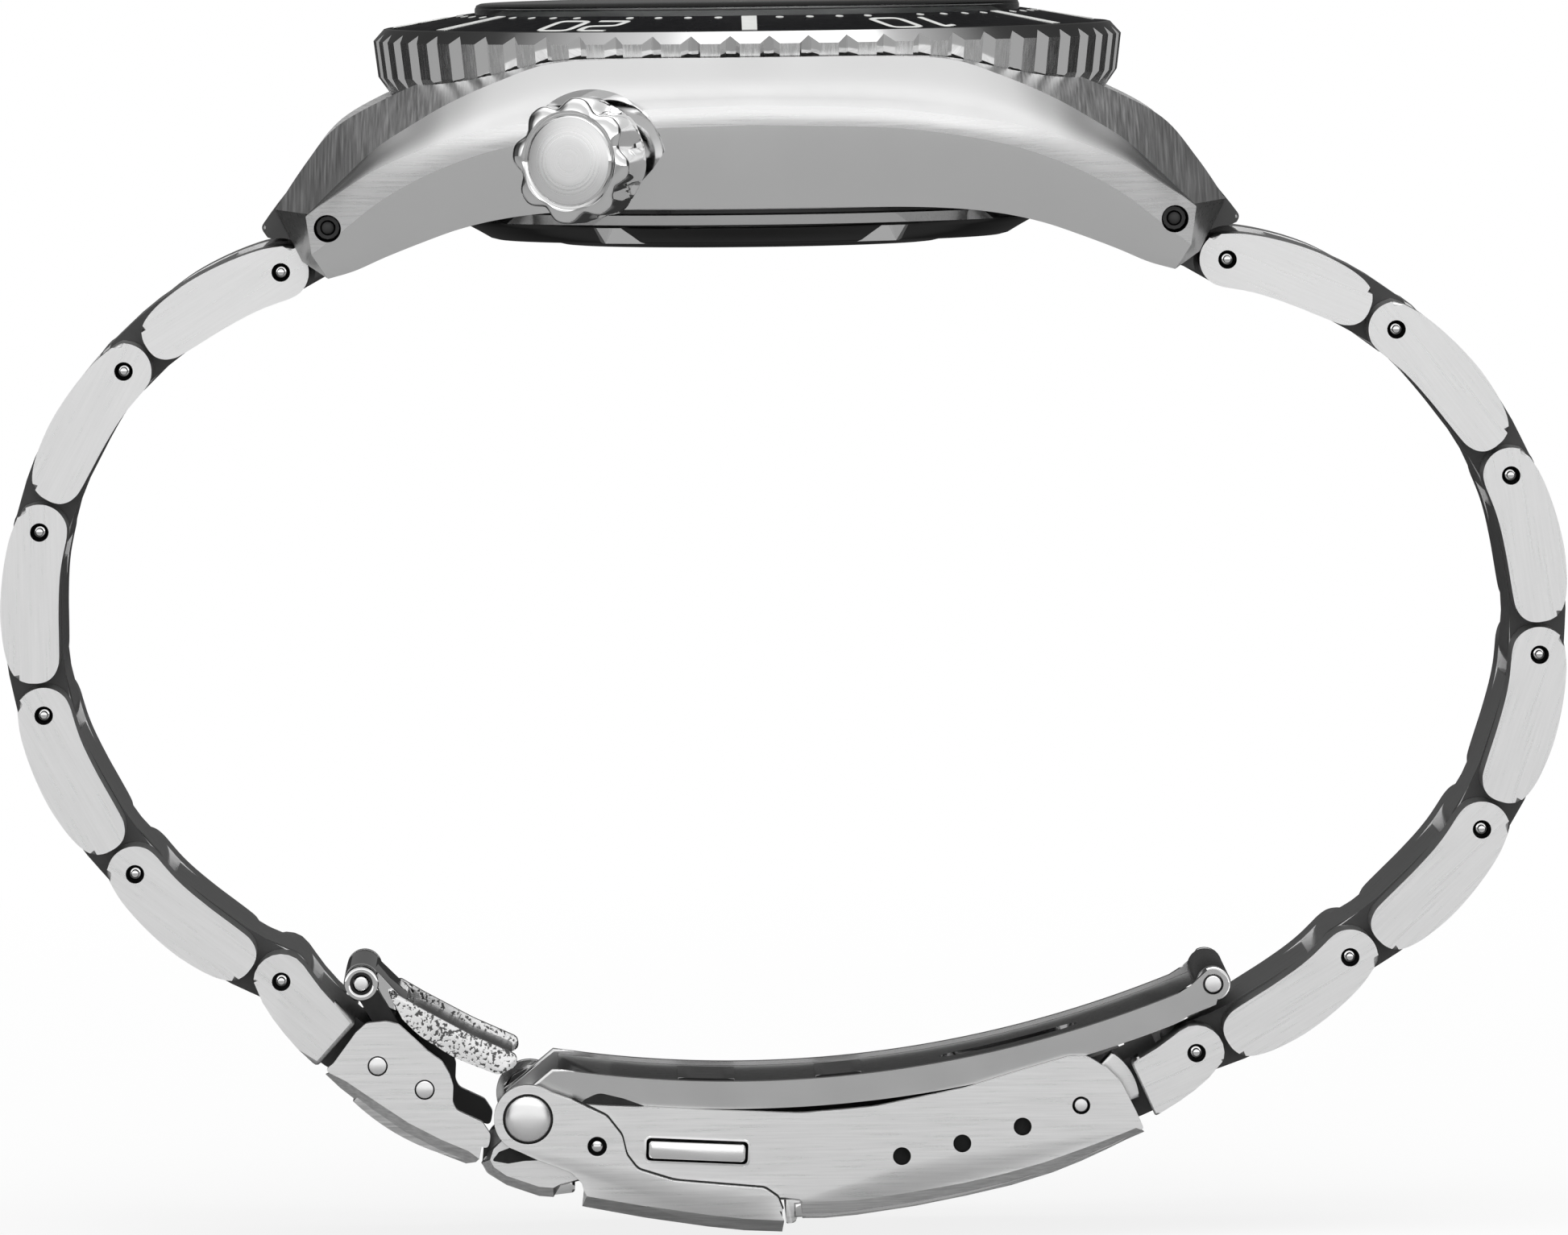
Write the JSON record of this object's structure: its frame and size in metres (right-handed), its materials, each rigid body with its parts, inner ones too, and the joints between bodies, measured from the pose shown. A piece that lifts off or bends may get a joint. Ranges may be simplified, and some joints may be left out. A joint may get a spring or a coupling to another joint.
{
  "type": "dive watch",
  "caption": "Steel dive watch with a rotating bezel, screw-down crown and a closed three-piece-link bracelet on a fold-over clasp with a wet-suit extension.",
  "frame": {"origin": "centre of the case back's outer flat face, on the dial's axis", "axes": "+Z from the case back to the crystal, +X towards 12 o'clock, -Y towards 3 o'clock (the crown's side)"},
  "size_m": [0.0872, 0.0475, 0.0684],
  "materials": {
    "brushed_steel": "fine brushed",
    "polished_steel": "mirror polished steel",
    "black_ceramic": "gloss black with white marks",
    "dial_black": "satin black",
    "mineral_glass": "clear, flat",
    "brass": "fine machined"
  },
  "bodies": {
    "watch_head": {"mid_case": "brushed_steel", "case_back": "polished_steel", "crystal": "mineral_glass", "chapter_ring": "dial_black", "dial": "dial_black", "movement": "brass", "movement_ring": "brass", "end_link_6": "brushed_steel", "end_link_12": "brushed_steel", "spring_bar_6": "polished_steel", "spring_bar_12": "polished_steel"},
    "bezel": {"bezel_ring": "polished_steel", "bezel_insert": "black_ceramic"},
    "winding_stem": {"crown_stem": "polished_steel"},
    "crown": {"crown": "polished_steel"},
    "rotor": {"rotor": "brushed_steel"},
    "hour_hand": {"hour_hand": "polished_steel"},
    "minute_hand": {"minute_hand": "polished_steel"},
    "seconds_hand": {"seconds_hand": "polished_steel"},
    "bracelet_6_1": {"link_6_1": "brushed_steel", "pin_6_1": "polished_steel"},
    "bracelet_6_2": {"link_6_2": "brushed_steel", "pin_6_2": "polished_steel"},
    "bracelet_6_3": {"link_6_3": "brushed_steel", "pin_6_3": "polished_steel"},
    "bracelet_6_4": {"link_6_4": "brushed_steel", "pin_6_4": "polished_steel"},
    "bracelet_6_5": {"link_6_5": "brushed_steel", "pin_6_5": "polished_steel"},
    "bracelet_6_6": {"link_6_6": "brushed_steel", "pin_6_6": "polished_steel"},
    "extension_end": {"extension_end": "polished_steel", "pin_6_7": "polished_steel", "extension_pin": "polished_steel"},
    "extension_plate_1": {"extension_plate_1": "polished_steel", "extension_curl_pin": "polished_steel"},
    "extension_plate_2": {"extension_plate_2": "polished_steel"},
    "bracelet_12_1": {"link_12_1": "brushed_steel", "pin_12_1": "polished_steel"},
    "bracelet_12_2": {"link_12_2": "brushed_steel", "pin_12_2": "polished_steel"},
    "bracelet_12_3": {"link_12_3": "brushed_steel", "pin_12_3": "polished_steel"},
    "bracelet_12_4": {"link_12_4": "brushed_steel", "pin_12_4": "polished_steel"},
    "bracelet_12_5": {"link_12_5": "brushed_steel", "pin_12_5": "polished_steel"},
    "bracelet_12_6": {"link_12_6": "brushed_steel", "pin_12_6": "polished_steel"},
    "bracelet_12_7": {"link_12_7": "brushed_steel", "pin_12_7": "polished_steel"},
    "clasp_cover": {"clasp_cover": "brushed_steel", "clasp_spring_bar": "polished_steel", "lock_rivet": "polished_steel"},
    "safety_lock": {"safety_lock": "polished_steel"},
    "blade_long": {"blade_long": "polished_steel", "blade_pin": "polished_steel"},
    "blade_short": {"blade_short": "polished_steel"},
    "push_button_near": {"push_button_near": "polished_steel"},
    "push_button_far": {"push_button_far": "polished_steel"}
  },
  "joints": [
    {"name": "bezel_turn", "type": "hinge", "parent": "watch_head", "child": "bezel", "pos_m": [0, 0, 0], "axis": [0, 0, 1], "continuous": true},
    {"name": "crown_pull", "type": "slide", "parent": "watch_head", "child": "winding_stem", "axis": [-0.3827, -0.9239, 0], "range_m": [0, 0.0015]},
    {"name": "crown_turn", "type": "hinge", "parent": "winding_stem", "child": "crown", "pos_m": [0, 0, 0.00525], "axis": [-0.3827, -0.9239, 0], "continuous": true},
    {"name": "rotor_turn", "type": "hinge", "parent": "watch_head", "child": "rotor", "pos_m": [0, 0, 0], "axis": [0, 0, 1], "continuous": true},
    {"name": "seconds_turn", "type": "hinge", "parent": "watch_head", "child": "seconds_hand", "pos_m": [0, 0, 0], "axis": [0, 0, -1], "continuous": true},
    {"name": "minute_turn", "type": "hinge", "parent": "watch_head", "child": "minute_hand", "pos_m": [0, 0, 0], "axis": [0, 0, -1], "continuous": true},
    {"name": "hour_turn", "type": "hinge", "parent": "watch_head", "child": "hour_hand", "pos_m": [0, 0, 0], "axis": [0, 0, -1], "continuous": true},
    {"name": "hinge_6_1", "type": "hinge", "parent": "watch_head", "child": "bracelet_6_1", "pos_m": [-0.0261, 0, -0.0011], "axis": [0, 1, 0], "range_deg": [0, 34]},
    {"name": "hinge_6_2", "type": "hinge", "parent": "bracelet_6_1", "child": "bracelet_6_2", "pos_m": [-0.0349, 0, -0.0065], "axis": [0, 1, 0], "range_deg": [0, 36]},
    {"name": "hinge_6_3", "type": "hinge", "parent": "bracelet_6_2", "child": "bracelet_6_3", "pos_m": [-0.0397, 0, -0.0154], "axis": [0, 1, 0], "range_deg": [0, 36]},
    {"name": "hinge_6_4", "type": "hinge", "parent": "bracelet_6_3", "child": "bracelet_6_4", "pos_m": [-0.0396, 0, -0.0256], "axis": [0, 1, 0], "range_deg": [0, 36]},
    {"name": "hinge_6_5", "type": "hinge", "parent": "bracelet_6_4", "child": "bracelet_6_5", "pos_m": [-0.03465, 0, -0.0345], "axis": [0, 1, 0], "range_deg": [0, 34]},
    {"name": "hinge_6_6", "type": "hinge", "parent": "bracelet_6_5", "child": "bracelet_6_6", "pos_m": [-0.0266, 0, -0.0406], "axis": [0, 1, 0], "range_deg": [0, 32]},
    {"name": "hinge_6_7", "type": "hinge", "parent": "bracelet_6_6", "child": "extension_end", "pos_m": [-0.0213, 0, -0.0454], "axis": [0, 1, 0], "range_deg": [0, 10]},
    {"name": "extension_fold", "type": "hinge", "parent": "extension_end", "child": "extension_plate_1", "pos_m": [-0.0187, 0, -0.04675], "axis": [0, 1, 0], "range_deg": [0, 45]},
    {"name": "extension_unfold", "type": "hinge", "parent": "extension_plate_1", "child": "extension_plate_2", "pos_m": [-0.02218, 0, -0.0409], "axis": [0, -1, 0], "range_deg": [0, 60]},
    {"name": "hinge_12_1", "type": "hinge", "parent": "watch_head", "child": "bracelet_12_1", "pos_m": [0.02645, 0, -0.001], "axis": [0, -1, 0], "range_deg": [0, 34]},
    {"name": "hinge_12_2", "type": "hinge", "parent": "bracelet_12_1", "child": "bracelet_12_2", "pos_m": [0.0358, 0, -0.005], "axis": [0, -1, 0], "range_deg": [0, 36]},
    {"name": "hinge_12_3", "type": "hinge", "parent": "bracelet_12_2", "child": "bracelet_12_3", "pos_m": [0.0421, 0, -0.0132], "axis": [0, -1, 0], "range_deg": [0, 36]},
    {"name": "hinge_12_4", "type": "hinge", "parent": "bracelet_12_3", "child": "bracelet_12_4", "pos_m": [0.0436, 0, -0.0232], "axis": [0, -1, 0], "range_deg": [0, 36]},
    {"name": "hinge_12_5", "type": "hinge", "parent": "bracelet_12_4", "child": "bracelet_12_5", "pos_m": [0.0403, 0, -0.0329], "axis": [0, -1, 0], "range_deg": [0, 36]},
    {"name": "hinge_12_6", "type": "hinge", "parent": "bracelet_12_5", "child": "bracelet_12_6", "pos_m": [0.0329, 0, -0.03995], "axis": [0, -1, 0], "range_deg": [0, 36]},
    {"name": "hinge_12_7", "type": "hinge", "parent": "bracelet_12_6", "child": "bracelet_12_7", "pos_m": [0.0243, 0, -0.0452], "axis": [0, -1, 0], "range_deg": [0, 36]},
    {"name": "hinge_12_8", "type": "hinge", "parent": "bracelet_12_7", "child": "clasp_cover", "pos_m": [0.01785, 0, -0.04806], "axis": [0, -1, 0], "range_deg": [0, 20]},
    {"name": "lock_open", "type": "hinge", "parent": "clasp_cover", "child": "safety_lock", "pos_m": [-0.01296, 0, -0.04838], "axis": [0, 1, 0], "range_deg": [0, 90]},
    {"name": "clasp_open", "type": "hinge", "parent": "clasp_cover", "child": "blade_long", "pos_m": [-0.01296, 0, -0.04838], "axis": [0, -1, 0], "range_deg": [0, 44]},
    {"name": "blade_open", "type": "hinge", "parent": "blade_long", "child": "blade_short", "pos_m": [0.0253, 0, -0.04145], "axis": [0, 1, 0], "range_deg": [0, 85]},
    {"name": "button_near_press", "type": "slide", "parent": "clasp_cover", "child": "push_button_near", "axis": [0, 1, 0], "range_m": [0, 0.0008], "stiffness_N_per_m": 400},
    {"name": "button_far_press", "type": "slide", "parent": "clasp_cover", "child": "push_button_far", "axis": [0, -1, 0], "range_m": [0, 0.0008], "stiffness_N_per_m": 400}
  ],
  "couplings": [
    {"joint": "minute_turn", "follows": "seconds_turn", "ratio": 0.016667},
    {"joint": "hour_turn", "follows": "seconds_turn", "ratio": 0.0013889}
  ]
}
